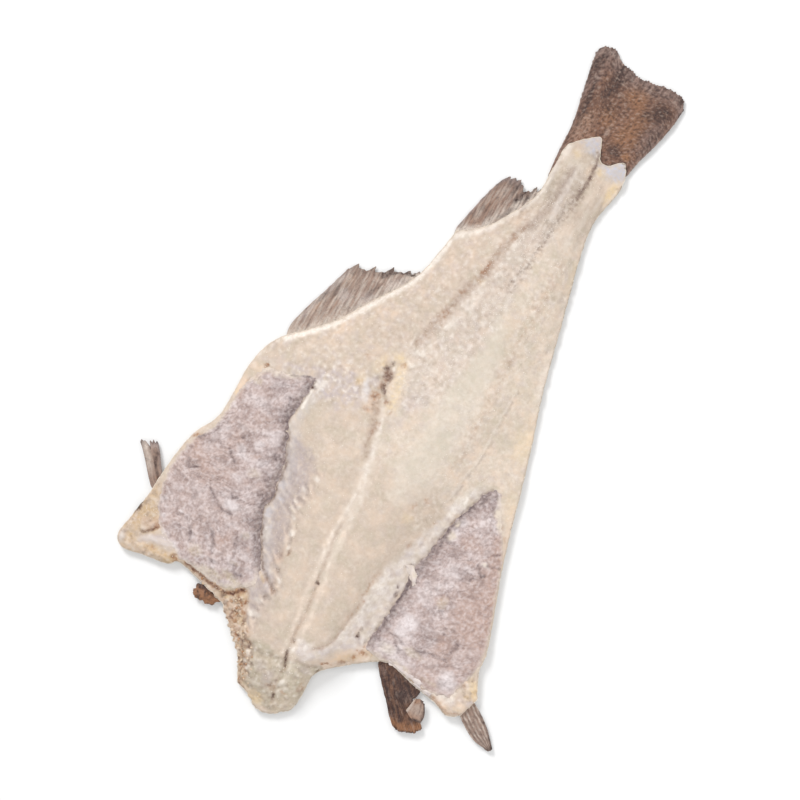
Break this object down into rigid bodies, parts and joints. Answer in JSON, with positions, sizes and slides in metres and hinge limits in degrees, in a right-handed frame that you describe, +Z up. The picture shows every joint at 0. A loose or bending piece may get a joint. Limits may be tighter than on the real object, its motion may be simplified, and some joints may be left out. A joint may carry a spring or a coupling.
{
  "type": "salted dried cod",
  "caption": "Split, salted and dried cod without its head, opened flat and lying skin side down, with tail, fins and belly flaps.",
  "frame": {"origin": "on the table, under the middle of the fish's bounding box", "axes": "+X across the fish, +Y along it from the neck to the tail, +Z up from the skin side to the flesh side"},
  "size_m": [0.383, 0.6206, 0.0316],
  "materials": {
    "dried_flesh": "matte, salt-crusted",
    "dried_skin": "matte, mottled",
    "belly_lining": "satin, wrinkled",
    "dried_fin": "matte, ribbed",
    "salt": "fine crystals"
  },
  "bodies": {
    "root": {"split_cod": "dried_flesh"}
  },
  "joints": []
}
